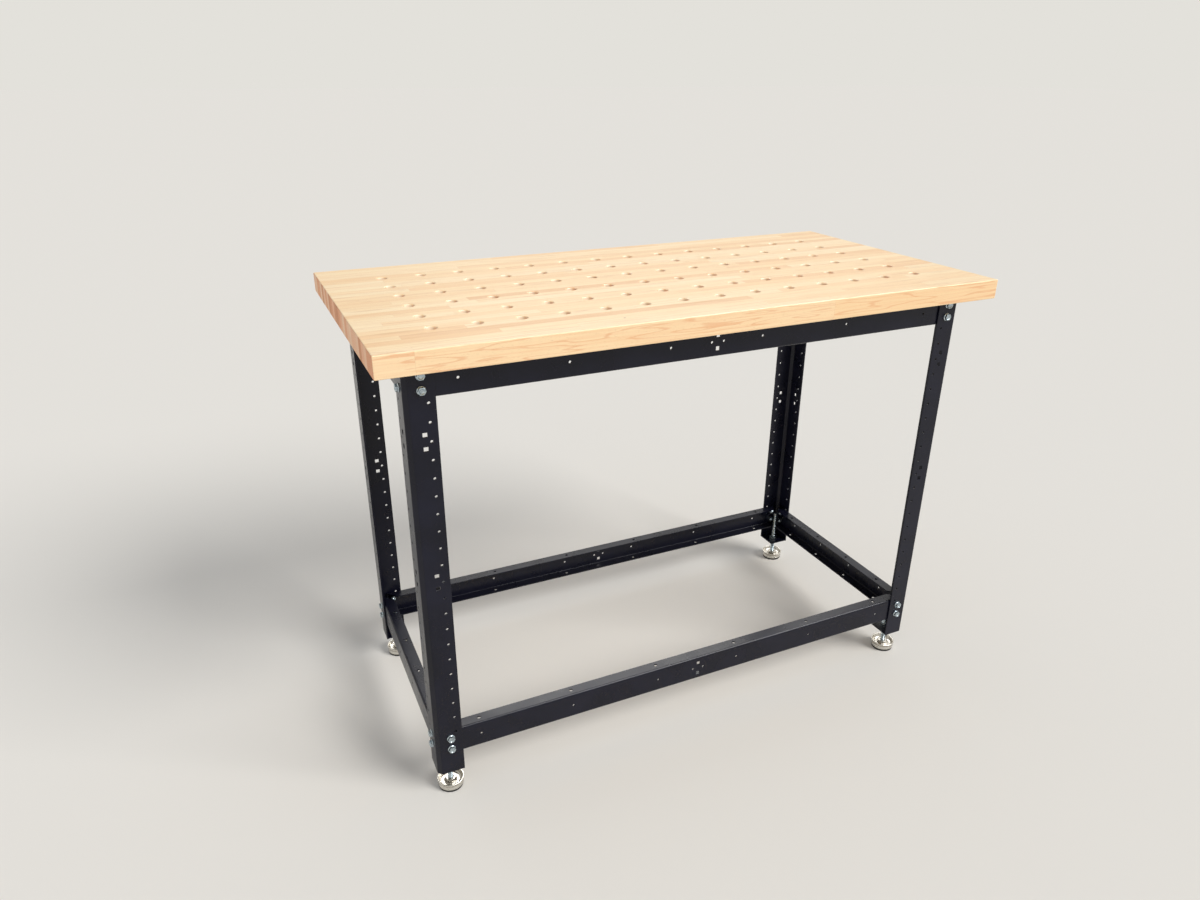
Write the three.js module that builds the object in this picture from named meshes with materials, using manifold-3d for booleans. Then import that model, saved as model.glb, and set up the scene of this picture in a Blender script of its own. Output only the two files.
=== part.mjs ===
// Assembly table: a butcher-block top with a grid of dog holes, screwed to a bolted frame of folded steel
// legs and channel rails that stands on four threaded levelling feet.
// Millimetres, +Z up. The origin is on the floor under the middle of the top, +X along the long edge.
import * as THREE from "three";
import { mergeVertices } from "three/addons/utils/BufferGeometryUtils.js";
import Module from "manifold-3d";

const wasm = await Module();
wasm.setup();

// Worktop
const TABLE_HEIGHT = 900;
const TOP_LENGTH = 1220;
const TOP_WIDTH = 600;
const TOP_THICKNESS = 38;
const TOP_OVERHANG_END = 47.5;
const TOP_OVERHANG_SIDE = 42;
const DOG_HOLE_DIAMETER = 19;
const DOG_HOLE_PITCH = 76.2;
const DOG_HOLE_RAIL_MARGIN = 30;

// Legs: folded angles with a bevelled corner, closed at the bottom by a foot plate with a welded nut
const LEG_FLANGE = 51;
const LEG_SHEET = 3;
const LEG_CORNER_BEVEL = 8;
const LEG_BOTTOM = 55;
const FOOT_PLATE_THICKNESS = 3;
const SQUARE_HOLE = 8;
const SQUARE_HOLE_DROP = 126;
const SQUARE_HOLE_STEP = 260;
const SQUARE_HOLE_LEVELS = 2;
const ACCESSORY_HOLE_DIAMETER = 5;
const ACCESSORY_HOLE_INSET = 39;
const ACCESSORY_HOLE_DROP = 61;
const ACCESSORY_HOLE_PITCH = 32.6;

// Rails: channels that open inwards, with mitred flange ends
const RAIL_SHEET = 2.5;
const RAIL_DEPTH = 25;
const RAIL_MITRE_GAP = 15;
const RAIL_END_CLEARANCE = 2;
const LOWER_RAIL_BOTTOM = 96;
const FLANGE_HOLE_DIAMETER = 7;
const RAIL_HOLE_END_DISTANCE = 89;
const FLANGE_HOLE_WEB_DISTANCE = 14;
const LONG_RAIL_HOLES = 6;
const SHORT_RAIL_HOLES = 4;

// Bolts through leg and rail, two to each end of a rail
const BOLT_DIAMETER = 8;
const BOLT_PITCH = 24.5;
const BOLT_INSET = 29;
const BOLT_RAIL_EDGE = 14.75;
const BOLT_HEAD_FLATS = 12;
const BOLT_HEAD_HEIGHT = 5.5;
const BOLT_FLANGE_DIAMETER = 15.2;
const BOLT_FLANGE_THICKNESS = 2;
const BOLT_NUT_HEIGHT = 7;
const BOLT_END_PROUD = 4;
const BOLT_HOLE_CLEARANCE = 0.8;

// Screws that hold the top down, through the end holes in the top flange of each long top rail
const SCREW_DIAMETER = 4.5;
const SCREW_LENGTH = 30;
const SCREW_HEAD_DIAMETER = 10;
const SCREW_HEAD_HEIGHT = 3;

// Levelling feet
const FOOT_INSET = 28;
const STUD_DIAMETER = 10;
const STUD_TOP = 137;
const STUD_NUT_FLATS = 17;
const STUD_NUT_HEIGHT = 8;
const PAD_DIAMETER = 52;
const PAD_HEIGHT = 19;
const PAD_RIM_HEIGHT = 3;
const PAD_RIM_WIDTH = 2.4;
const PAD_NECK_DIAMETER = 44;
const PAD_NECK_HEIGHT = 11.5;
const PAD_BASE_DIAMETER = 49;
const PAD_BASE_THICKNESS = 2.5;
const PAD_DISH_DEPTH = 8;
const PAD_DISH_SLOPE = 4;
const PAD_HUB_DIAMETER = 24;
const PAD_HUB_SLOPE = 1.5;
const PAD_SOCKET_DEPTH = 9;
const SOLE_HEIGHT = 5;
const SOLE_STEP = 1;

// Seat gap between pieces that touch, and running clearance around a stud or a screw
const SEAT = 0.3;
const RUNNING_CLEARANCE = 0.4;

const ROUND_SIDES = 16;
const SMALL_ROUND_SIDES = 8;
const HEX_SIDES = 6;

// Places that follow from the sizes above
const FRAME_X = TOP_LENGTH / 2 - TOP_OVERHANG_END;
const FRAME_Y = TOP_WIDTH / 2 - TOP_OVERHANG_SIDE;
const TOP_UNDERSIDE = TABLE_HEIGHT - TOP_THICKNESS;
const FRAME_TOP = TOP_UNDERSIDE - SEAT;
const RAIL_HEIGHT = BOLT_PITCH + 2 * BOLT_RAIL_EDGE;
const RAIL_FACE = LEG_SHEET + SEAT;
const RAIL_BOTTOMS = { top: FRAME_TOP - RAIL_HEIGHT, lower: LOWER_RAIL_BOTTOM };
const BEVEL_SHIFT = LEG_SHEET * (Math.SQRT2 - 1);
const RAIL_INNER_X = FRAME_X - RAIL_FACE - RAIL_DEPTH;
const RAIL_INNER_Y = FRAME_Y - RAIL_FACE - RAIL_DEPTH;
const SCREW_X = FRAME_X - RAIL_HOLE_END_DISTANCE;
const SCREW_Y = FRAME_Y - RAIL_FACE - FLANGE_HOLE_WEB_DISTANCE;
const FOOT_PLATE_TOP = LEG_BOTTOM + FOOT_PLATE_THICKNESS;

const MAPLE = { color: 0xf2d6ab, roughness: 0.4, metalness: 0 };
const BLACK_STEEL = { color: 0x25262a, roughness: 0.5, metalness: 0.2 };
const ZINC = { color: 0xb4bac0, roughness: 0.35, metalness: 1 };
const NICKEL = { color: 0xcfc8ba, roughness: 0.25, metalness: 1 };

const table = new THREE.Group();

function addMesh(name, geometry, finish) {
  const mesh = new THREE.Mesh(geometry, new THREE.MeshStandardMaterial(finish));
  mesh.name = name;
  table.add(mesh);
  return mesh;
}

// Solids to join and cut
function solid(geometry) {
  const bare = geometry.clone();
  bare.deleteAttribute("normal");
  bare.deleteAttribute("uv");
  const merged = mergeVertices(bare);
  const vertProperties = new Float32Array(merged.attributes.position.array);
  const triVerts = new Uint32Array(merged.index.array);
  return new wasm.Manifold(new wasm.Mesh({ numProp: 3, vertProperties, triVerts }));
}

function geometryOf(body) {
  const { vertProperties, triVerts } = body.getMesh();
  const geometry = new THREE.BufferGeometry();
  geometry.setAttribute("position", new THREE.BufferAttribute(new Float32Array(vertProperties), 3));
  geometry.setIndex(new THREE.BufferAttribute(new Uint32Array(triVerts), 1));
  geometry.computeVertexNormals();
  return geometry;
}

function join(...bodies) {
  return bodies.reduce((whole, body) => whole.add(body));
}

// A prism over a plan outline, from one height to another
function prism(points, bottom, top) {
  const shape = new THREE.Shape(points.map(([x, y]) => new THREE.Vector2(x, y)));
  const geometry = new THREE.ExtrudeGeometry(shape, { depth: top - bottom, bevelEnabled: false });
  return geometry.translate(0, 0, bottom);
}

// An upright round or hexagonal bar; its radius is to the corners
function bar(radius, sides, bottom, top) {
  const geometry = new THREE.CylinderGeometry(radius, radius, top - bottom, sides);
  return geometry.rotateX(Math.PI / 2).translate(0, 0, (bottom + top) / 2);
}

function hexRadius(acrossFlats) {
  return acrossFlats / Math.sqrt(3);
}

// Corner radius of a hole whose flats lie at the given clear radius
function holeRadius(clearRadius, sides) {
  return clearRadius / Math.cos(Math.PI / sides);
}

// A regular polygon with a flat side facing each axis
function ringPoints(clearRadius, sides) {
  const radius = holeRadius(clearRadius, sides);
  return Array.from({ length: sides }, (_, i) => {
    const angle = ((2 * i + 1) * Math.PI) / sides;
    return [radius * Math.cos(angle), radius * Math.sin(angle)];
  });
}

// A tool that cuts along Y at (x, z), through anything from y - reach to y + reach
function cutAlongY(outline, x, y, z, reach) {
  return solid(prism(outline, -reach, reach).rotateX(Math.PI / 2).translate(x, y, z));
}

function cutAlongX(outline, x, y, z, reach) {
  return solid(prism(outline, -reach, reach).rotateY(Math.PI / 2).translate(x, y, z));
}

function squareOutline(side) {
  const half = side / 2;
  return [
    [-half, -half],
    [half, -half],
    [half, half],
    [-half, half],
  ];
}

const BOLT_HOLE = ringPoints(BOLT_DIAMETER / 2 + BOLT_HOLE_CLEARANCE, HEX_SIDES);
const SQUARE = squareOutline(SQUARE_HOLE);
const ACCESSORY_HOLE = ringPoints(ACCESSORY_HOLE_DIAMETER / 2, HEX_SIDES);
const FLANGE_HOLE = ringPoints(FLANGE_HOLE_DIAMETER / 2, HEX_SIDES);

function boltHeights(level) {
  const middle = RAIL_BOTTOMS[level] + RAIL_HEIGHT / 2;
  return [middle + BOLT_PITCH / 2, middle - BOLT_PITCH / 2];
}

function squareHoleHeights() {
  const heights = [];
  for (let level = 0; level < SQUARE_HOLE_LEVELS; level += 1) {
    const middle = FRAME_TOP - SQUARE_HOLE_DROP - level * SQUARE_HOLE_STEP;
    heights.push(middle + BOLT_PITCH / 2, middle - BOLT_PITCH / 2);
  }
  return heights;
}

// A row from below the top rails down to the lower rails' bolts
function accessoryHoleHeights() {
  const lowest = boltHeights("lower")[0] + (BOLT_FLANGE_DIAMETER + ACCESSORY_HOLE_DIAMETER) / 2;
  const heights = [];
  for (let z = FRAME_TOP - ACCESSORY_HOLE_DROP; z >= lowest; z -= ACCESSORY_HOLE_PITCH) heights.push(z);
  return heights;
}

// Evenly spaced places about zero that stay within the given limit
function spread(limit, pitch) {
  const count = 1 + Math.floor((2 * limit) / pitch);
  return Array.from({ length: count }, (_, i) => (i - (count - 1) / 2) * pitch);
}

const CORNERS = [
  { name: "front_left", sx: -1, sy: -1 },
  { name: "front_right", sx: 1, sy: -1 },
  { name: "back_right", sx: 1, sy: 1 },
  { name: "back_left", sx: -1, sy: 1 },
];

function worktop() {
  const shape = new THREE.Shape();
  const halfX = TOP_LENGTH / 2;
  const halfY = TOP_WIDTH / 2;
  shape.moveTo(-halfX, -halfY).lineTo(halfX, -halfY).lineTo(halfX, halfY).lineTo(-halfX, halfY).closePath();
  const ring = ringPoints(DOG_HOLE_DIAMETER / 2, SMALL_ROUND_SIDES);
  for (const x of spread(RAIL_INNER_X - DOG_HOLE_RAIL_MARGIN, DOG_HOLE_PITCH)) {
    for (const y of spread(RAIL_INNER_Y - DOG_HOLE_RAIL_MARGIN, DOG_HOLE_PITCH)) {
      shape.holes.push(new THREE.Path(ring.map(([dx, dy]) => new THREE.Vector2(x + dx, y + dy))));
    }
  }
  const board = new THREE.ExtrudeGeometry(shape, { depth: TOP_THICKNESS, bevelEnabled: false });
  let body = solid(board.translate(0, 0, TOP_UNDERSIDE));
  const pilotRadius = holeRadius(SCREW_DIAMETER / 2 + RUNNING_CLEARANCE, SMALL_ROUND_SIDES);
  const pilotTop = screwHeadSeat() + SCREW_LENGTH + SEAT;
  const pilot = bar(pilotRadius, SMALL_ROUND_SIDES, TOP_UNDERSIDE - SEAT, pilotTop);
  for (const { sx, sy } of CORNERS) {
    body = body.subtract(solid(pilot.clone().translate(sx * SCREW_X, sy * SCREW_Y, 0)));
  }
  addMesh("worktop", geometryOf(body), MAPLE);
}

function legPlan(sx, sy) {
  const inner = LEG_CORNER_BEVEL + BEVEL_SHIFT;
  const outline = [
    [LEG_FLANGE, 0],
    [LEG_CORNER_BEVEL, 0],
    [0, LEG_CORNER_BEVEL],
    [0, LEG_FLANGE],
  ];
  const angle = [
    ...outline,
    [LEG_SHEET, LEG_FLANGE],
    [LEG_SHEET, inner],
    [inner, LEG_SHEET],
    [LEG_FLANGE, LEG_SHEET],
  ];
  const plate = [...outline, [LEG_FLANGE, LEG_FLANGE]];
  const place = ([dx, dy]) => [sx * (FRAME_X - dx), sy * (FRAME_Y - dy)];
  return { angle: angle.map(place), plate: plate.map(place) };
}

function leg({ name, sx, sy }) {
  const plan = legPlan(sx, sy);
  const footX = sx * (FRAME_X - FOOT_INSET);
  const footY = sy * (FRAME_Y - FOOT_INSET);
  const nutTop = FOOT_PLATE_TOP + STUD_NUT_HEIGHT;
  const nut = bar(hexRadius(STUD_NUT_FLATS), HEX_SIDES, LEG_BOTTOM, nutTop).translate(footX, footY, 0);
  const threadRadius = holeRadius(STUD_DIAMETER / 2 + RUNNING_CLEARANCE, ROUND_SIDES);
  const thread = bar(threadRadius, ROUND_SIDES, 0, nutTop + SEAT).translate(footX, footY, 0);
  let body = join(
    solid(prism(plan.angle, LEG_BOTTOM, FRAME_TOP)),
    solid(prism(plan.plate, LEG_BOTTOM, FOOT_PLATE_TOP)),
    solid(nut),
  ).subtract(solid(thread));
  const holes = [
    ...[...boltHeights("top"), ...boltHeights("lower")].map((z) => [z, BOLT_INSET, BOLT_HOLE]),
    ...squareHoleHeights().map((z) => [z, BOLT_INSET, SQUARE]),
    ...accessoryHoleHeights().map((z) => [z, ACCESSORY_HOLE_INSET, ACCESSORY_HOLE]),
  ];
  const reach = 2 * LEG_SHEET;
  for (const [z, inset, outline] of holes) {
    body = body.subtract(cutAlongY(outline, sx * (FRAME_X - inset), sy * FRAME_Y, z, reach));
    body = body.subtract(cutAlongX(outline, sx * FRAME_X, sy * (FRAME_Y - inset), z, reach));
  }
  addMesh(`leg_${name}`, geometryOf(body), BLACK_STEEL);
}

// A rail lies along its own X with its web's outer face at y = 0, and its flanges point to +Y
function railGeometry(halfFrame, holeCount, hasCentreHoles) {
  const corner = halfFrame - RAIL_FACE;
  const mitre = RAIL_MITRE_GAP / Math.SQRT2;
  const webEnd = halfFrame - LEG_CORNER_BEVEL - BEVEL_SHIFT - RAIL_END_CLEARANCE;
  const webPlan = [
    [-webEnd, 0],
    [webEnd, 0],
    [webEnd, RAIL_SHEET],
    [-webEnd, RAIL_SHEET],
  ];
  const flangeEnd = Math.min(corner - mitre, webEnd);
  const flangePlan = [
    [-flangeEnd, 0],
    [flangeEnd, 0],
    [corner - mitre - RAIL_DEPTH, RAIL_DEPTH],
    [-(corner - mitre - RAIL_DEPTH), RAIL_DEPTH],
  ];
  let body = join(
    solid(prism(webPlan, 0, RAIL_HEIGHT)),
    solid(prism(flangePlan, 0, RAIL_SHEET)),
    solid(prism(flangePlan, RAIL_HEIGHT - RAIL_SHEET, RAIL_HEIGHT)),
  );
  const reach = 2 * RAIL_SHEET;
  for (const side of [-1, 1]) {
    const z = RAIL_HEIGHT / 2 + (side * BOLT_PITCH) / 2;
    for (const end of [-1, 1]) {
      body = body.subtract(cutAlongY(BOLT_HOLE, end * (halfFrame - BOLT_INSET), 0, z, reach));
    }
    if (hasCentreHoles) {
      const x = (side * BOLT_PITCH) / 2;
      body = body.subtract(cutAlongY(SQUARE, 0, 0, z, reach));
      body = body.subtract(cutAlongY(ACCESSORY_HOLE, x, 0, RAIL_HEIGHT / 2, reach));
    }
  }
  const lastHole = halfFrame - RAIL_HOLE_END_DISTANCE;
  for (let i = 0; i < holeCount; i += 1) {
    const x = lastHole * ((2 * i) / (holeCount - 1) - 1);
    const flangeHoles = prism(FLANGE_HOLE, -SEAT, RAIL_HEIGHT + SEAT);
    body = body.subtract(solid(flangeHoles.translate(x, FLANGE_HOLE_WEB_DISTANCE, 0)));
    body = body.subtract(cutAlongY(ACCESSORY_HOLE, x, 0, RAIL_HEIGHT / 2, reach));
  }
  return geometryOf(body);
}

function rails(level) {
  const long = railGeometry(FRAME_X, LONG_RAIL_HOLES, true);
  const short = railGeometry(FRAME_Y, SHORT_RAIL_HOLES, false);
  const sides = [
    { name: "front", geometry: long, turn: 0, x: 0, y: -(FRAME_Y - RAIL_FACE) },
    { name: "right", geometry: short, turn: Math.PI / 2, x: FRAME_X - RAIL_FACE, y: 0 },
    { name: "back", geometry: long, turn: Math.PI, x: 0, y: FRAME_Y - RAIL_FACE },
    { name: "left", geometry: short, turn: -Math.PI / 2, x: -(FRAME_X - RAIL_FACE), y: 0 },
  ];
  for (const { name, geometry, turn, x, y } of sides) {
    const rail = addMesh(`${level}_rail_${name}`, geometry, BLACK_STEEL);
    rail.position.set(x, y, RAIL_BOTTOMS[level]);
    rail.rotation.z = turn;
  }
}

// A flanged hexagon bolt with its nut: z = 0 on the leg's outer face, +Z into the frame
function boltGeometry() {
  const headTop = -SEAT - BOLT_HEAD_HEIGHT;
  const flangeMiddle = -SEAT - BOLT_FLANGE_THICKNESS / 2;
  const nutFace = RAIL_FACE + RAIL_SHEET + SEAT;
  const nutEnd = nutFace + BOLT_NUT_HEIGHT;
  const hex = hexRadius(BOLT_HEAD_FLATS);
  const flangeRadius = BOLT_FLANGE_DIAMETER / 2;
  return geometryOf(
    join(
      solid(bar(hex, HEX_SIDES, headTop, flangeMiddle)),
      solid(bar(flangeRadius, SMALL_ROUND_SIDES, -SEAT - BOLT_FLANGE_THICKNESS, -SEAT)),
      solid(bar(BOLT_DIAMETER / 2, HEX_SIDES, flangeMiddle, nutEnd + BOLT_END_PROUD)),
      solid(bar(hex, HEX_SIDES, nutFace, nutEnd)),
    ),
  );
}

function bolts() {
  const geometry = boltGeometry();
  for (const { name, sx, sy } of CORNERS) {
    for (const level of Object.keys(RAIL_BOTTOMS)) {
      boltHeights(level).forEach((z, i) => {
        const long = addMesh(`bolt_${name}_${level}_long_${i + 1}`, geometry, ZINC);
        long.position.set(sx * (FRAME_X - BOLT_INSET), sy * FRAME_Y, z);
        long.rotation.x = (sy * Math.PI) / 2;
        const short = addMesh(`bolt_${name}_${level}_short_${i + 1}`, geometry, ZINC);
        short.position.set(sx * FRAME_X, sy * (FRAME_Y - BOLT_INSET), z);
        short.rotation.y = (-sx * Math.PI) / 2;
      });
    }
  }
}

// Underside of the top rails' upper flanges, where the screw heads bear
function screwHeadSeat() {
  return FRAME_TOP - RAIL_SHEET - SEAT;
}

function screws() {
  const seat = screwHeadSeat();
  const headRadius = SCREW_HEAD_DIAMETER / 2;
  const geometry = geometryOf(
    join(
      solid(bar(headRadius, SMALL_ROUND_SIDES, seat - SCREW_HEAD_HEIGHT, seat)),
      solid(bar(SCREW_DIAMETER / 2, SMALL_ROUND_SIDES, seat - SCREW_HEAD_HEIGHT / 2, seat + SCREW_LENGTH)),
    ),
  );
  for (const { name, sx, sy } of CORNERS) {
    addMesh(`top_screw_${name}`, geometry, ZINC).position.set(sx * SCREW_X, sy * SCREW_Y, 0);
  }
}

// A levelling foot: a cupped, waisted pad on a soft sole, with a hub whose socket the stud turns in
function feet() {
  const padRadius = PAD_DIAMETER / 2;
  const baseRadius = PAD_BASE_DIAMETER / 2;
  const soleRadius = baseRadius - SOLE_STEP;
  const dishFloor = PAD_HEIGHT - PAD_DISH_DEPTH;
  const dishRadius = padRadius - PAD_RIM_WIDTH;
  const hubRadius = PAD_HUB_DIAMETER / 2;
  const socketRadius = holeRadius(STUD_DIAMETER / 2 + RUNNING_CLEARANCE, ROUND_SIDES);
  const socketFloor = PAD_HEIGHT - PAD_SOCKET_DEPTH;
  const profile = [
    [0, 0],
    [soleRadius, 0],
    [soleRadius, SOLE_HEIGHT],
    [baseRadius, SOLE_HEIGHT],
    [baseRadius, SOLE_HEIGHT + PAD_BASE_THICKNESS],
    [PAD_NECK_DIAMETER / 2, PAD_NECK_HEIGHT],
    [padRadius, PAD_HEIGHT - PAD_RIM_HEIGHT],
    [padRadius, PAD_HEIGHT],
    [dishRadius, PAD_HEIGHT],
    [dishRadius - PAD_DISH_SLOPE, dishFloor],
    [hubRadius, dishFloor],
    [hubRadius - PAD_HUB_SLOPE, PAD_HEIGHT],
    [socketRadius, PAD_HEIGHT],
    [socketRadius, socketFloor],
    [0, socketFloor],
  ].map(([r, z]) => new THREE.Vector2(r, z));
  const pad = new THREE.LatheGeometry(profile, ROUND_SIDES).rotateX(Math.PI / 2);
  const stud = bar(STUD_DIAMETER / 2, ROUND_SIDES, socketFloor + SEAT, STUD_TOP);
  for (const { name, sx, sy } of CORNERS) {
    const x = sx * (FRAME_X - FOOT_INSET);
    const y = sy * (FRAME_Y - FOOT_INSET);
    addMesh(`foot_pad_${name}`, pad, NICKEL).position.set(x, y, 0);
    addMesh(`foot_stud_${name}`, stud, ZINC).position.set(x, y, 0);
  }
}

worktop();
CORNERS.forEach(leg);
Object.keys(RAIL_BOTTOMS).forEach(rails);
bolts();
screws();
feet();

export default table;
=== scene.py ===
"""The looks of an assembly table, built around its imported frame. Metres, +Z up, in the table's own frame."""

import math
from functools import partial

import bmesh
import bpy
from mathutils import Euler, Matrix, Vector


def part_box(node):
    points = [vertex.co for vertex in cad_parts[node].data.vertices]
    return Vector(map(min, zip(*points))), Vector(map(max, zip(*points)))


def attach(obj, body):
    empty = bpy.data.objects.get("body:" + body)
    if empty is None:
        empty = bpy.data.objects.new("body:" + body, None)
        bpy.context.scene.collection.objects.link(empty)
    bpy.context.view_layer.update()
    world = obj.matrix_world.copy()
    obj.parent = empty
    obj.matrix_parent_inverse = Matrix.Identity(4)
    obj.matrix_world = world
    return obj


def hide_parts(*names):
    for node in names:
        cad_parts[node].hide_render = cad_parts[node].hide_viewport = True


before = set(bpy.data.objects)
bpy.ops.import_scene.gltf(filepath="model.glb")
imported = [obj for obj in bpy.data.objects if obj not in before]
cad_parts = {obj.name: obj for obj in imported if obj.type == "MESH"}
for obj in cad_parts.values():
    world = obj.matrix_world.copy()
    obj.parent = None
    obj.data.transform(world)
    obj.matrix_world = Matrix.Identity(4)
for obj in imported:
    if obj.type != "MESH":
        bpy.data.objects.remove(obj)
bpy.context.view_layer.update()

MM = 0.001
SCENE = bpy.context.scene

# Kinds of node that the trees use most
BOOLEAN = "GeometryNodeMeshBoolean"
BUMP = "ShaderNodeBump"
COMBINE = "ShaderNodeCombineXYZ"
COORDINATES = "ShaderNodeTexCoord"
MATH = "ShaderNodeMath"
MIX = "ShaderNodeMix"
NOISE = "ShaderNodeTexNoise"
OBJECT = "GeometryNodeObjectInfo"
ON_POINTS = "GeometryNodeInstanceOnPoints"
RAMP = "ShaderNodeValToRGB"
RANGE = "ShaderNodeMapRange"
REALIZE = "GeometryNodeRealizeInstances"
SEPARATE = "ShaderNodeSeparateXYZ"
SEPARATE_COLOUR = "ShaderNodeSeparateColor"
SHADER = "ShaderNodeBsdfPrincipled"
SURFACE = "ShaderNodeOutputMaterial"
VECTOR = "ShaderNodeVectorMath"
WHITE_NOISE = "ShaderNodeTexWhiteNoise"

# Places and sizes that the frame gives
TOP_LOW, TOP_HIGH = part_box("worktop")
LEG_LOW, LEG_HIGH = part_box("leg_back_right")
LONG_LOW, LONG_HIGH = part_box("lower_rail_front")
TOP_RAIL_LOW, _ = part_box("top_rail_front")
PAD_LOW, PAD_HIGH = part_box("foot_pad_back_right")
STUD_LOW, STUD_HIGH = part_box("foot_stud_back_right")
SCREW_LOW, SCREW_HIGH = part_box("top_screw_back_right")
FRAME_X = LEG_HIGH.x
FRAME_Y = LEG_HIGH.y
LEG_FLANGE = LEG_HIGH.x - LEG_LOW.x
RAIL_HEIGHT = LONG_HIGH.z - LONG_LOW.z
RAIL_DEPTH = LONG_HIGH.y - LONG_LOW.y
RAIL_FACE = FRAME_Y + LONG_LOW.y
FOOT_X = (PAD_LOW.x + PAD_HIGH.x) / 2
FOOT_Y = (PAD_LOW.y + PAD_HIGH.y) / 2
CORNERS = {"front_left": (-1, -1), "front_right": (1, -1), "back_right": (1, 1), "back_left": (-1, 1)}

# Worktop shape
DOG_HOLE_DIAMETER = 19 * MM
DOG_HOLE_PITCH = 76.2 * MM
DOG_HOLE_COLUMNS = 14
DOG_HOLE_ROWS = 6
DOG_HOLE_SIDES = 40
DOG_HOLE_ROUND = 2.4 * MM
DOG_HOLE_ROUND_STEPS = 4
DOG_HOLE_FLARE = math.radians(75)
DOG_HOLE_RUN_ON = 4 * DOG_HOLE_ROUND
TOP_EDGE_EASE = 2.2 * MM
TOP_EDGE_STEPS = 4

# Staves: their sizes, the joints that show on the front edge, and how far apart their grain is taken
STAVE_ROWS = 28
STAVE_WIDTH = (TOP_HIGH.y - TOP_LOW.y) / STAVE_ROWS
STAVE_ROW_FIT = 0.9995  # keeps the far edge in the last row
STAVE_SHORTEST = 300 * MM
STAVE_LONGEST = 720 * MM
STAVE_ROW_START = 2.0
STAVE_SEED = 5.5
STAVE_SHIFT = 40.0
FRONT_JOINTS = (-548 * MM, 213 * MM)
FRONT_STAVES_BEFORE = 4  # whole staves that keep every place in the row above zero
FRONT_TONE = 0.35
GLUE_LINE = 0.35 * MM
RING_SPACING = 2.4 * MM
HEART_ASIDE = 80 * MM
HEART_BELOW = 60 * MM

# Grain: the length, width and depth of each pattern, and its noise detail. Real fibre and pores are much
# finer, and these are drawn as coarse as they need to be to show
GRAIN_MM = {
    "fibre": ((120, 3, 3), 4.0),
    "rings": ((300, 16, 24), 2.0),
    "broad": ((240, 60, 16), 2.0),
    "streaks": ((150, 5, 5), 1.0),
    "pores": ((5, 0.6, 0.6), 0.0),
}

# Where a pattern starts to show and where it shows in full, or its number of waves and where they show
GRAIN_BANDS = {"fibre": (0.42, 0.70), "pores": (0.70, 0.78), "streaks": (0.62, 0.76)}
FIGURE_BANDS = {"rings": (42.0, 0.55), "broad": (38.0, 0.7)}
END_RING_BAND = (0.3, 1.0)
SIDE_BAND = (0.6, 0.8)  # how upright a face is before it counts as a side

# Maple colours: a stave's tones from pale to dark, and what is laid over them as mask, share and colour
FACE_TONES = [(0.0, "FCE8C2"), (0.4, "FAE0B4"), (0.75, "F7D7A8"), (0.92, "F1CB9A"), (1.0, "E8BC8B")]
# The in_hole layer is painted light: it pales the walls of the dog holes as if they were lit deep down
FACE_LAYERS = [
    ("warmth", 0.25, "F8CF9C"), ("fibre", 0.40, "E6B983"), ("figured", 0.30, "D29C68"),
    ("pores", 0.24, "B07C50"), ("streaks", 0.38, "CB8F5C"), ("in_hole", 0.75, "FFF3E0"),
]
EDGE_LAYERS = [
    ("warmth", 0.30, "F8C48E"), ("fibre", 0.30, "F0B27C"), ("broad", 0.35, "DE8A58"),
    ("pores", 0.2, "B07C50"),
]
END_TONES = [(0.0, "FFDCBC"), (0.4, "FCC7A2"), (0.75, "F2B088"), (1.0, "DC9A74")]
END_LAYERS = [("end_rings", 0.26, "B8744C"), ("fibre", 0.25, "F6D2B0")]
JOINT_LAYERS = [("row_line", 0.24, "A8744A"), ("joint_line", 0.30, "A8744A")]
HOLE_END_SHARE = 0.6
MAPLE_ROUGHNESS = (0.28, 0.42)
END_ROUGHNESS = 0.9
PORE_DEPTH = 0.6

# Mineral streaks, stains and a pin knot on the top face: centre, half size, share and colour
MARKS_MM = {
    "near_streak": ((-233, -191, 900), (22, 1.6, 5), 0.7, "C27A45"),
    "pin_knot": ((-188, -260, 900), (3, 2, 5), 0.8, "8A4F2C"),
    "far_streak": ((500, 165, 900), (12, 1.6, 5), 0.6, "B9784A"),
    "left_stain": ((-566, -45, 900), (46, 6, 5), 0.35, "CF9A66"),
    "near_left_stain": ((-553, -195, 900), (55, 7, 5), 0.30, "CF9A66"),
}
MARK_CORE = 0.4  # the share of a mark that has its full colour

# Coatings: sizes of their patterns, colours, and the least and most roughness
POWDER_PEEL = 1.1 * MM
POWDER_CLOUD = 60 * MM
POWDER_TONES = [(0.3, "0B0C19"), (0.7, "121323")]
POWDER_ROUGHNESS = (0.24, 0.33)
ZINC_SPANGLE = 5 * MM
ZINC_TONES = [(0.3, "97A5AE"), (0.7, "C6D0D5")]
ZINC_ROUGHNESS = (0.18, 0.30)
NICKEL_CLOUD = 20 * MM
NICKEL_TONES = [(0.3, "C4C0B8"), (0.7, "D2CEC6")]
NICKEL_ROUGHNESS = (0.25, 0.30)
RUBBER_GRAIN = 0.8 * MM  # coarser than the real one, so that it shows
RUBBER_TONES = [(0.3, "1C1C1C"), (0.7, "262626")]
NOISE_BAND = (0.3, 0.7)  # the part of a noise's range that it mostly keeps to

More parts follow.
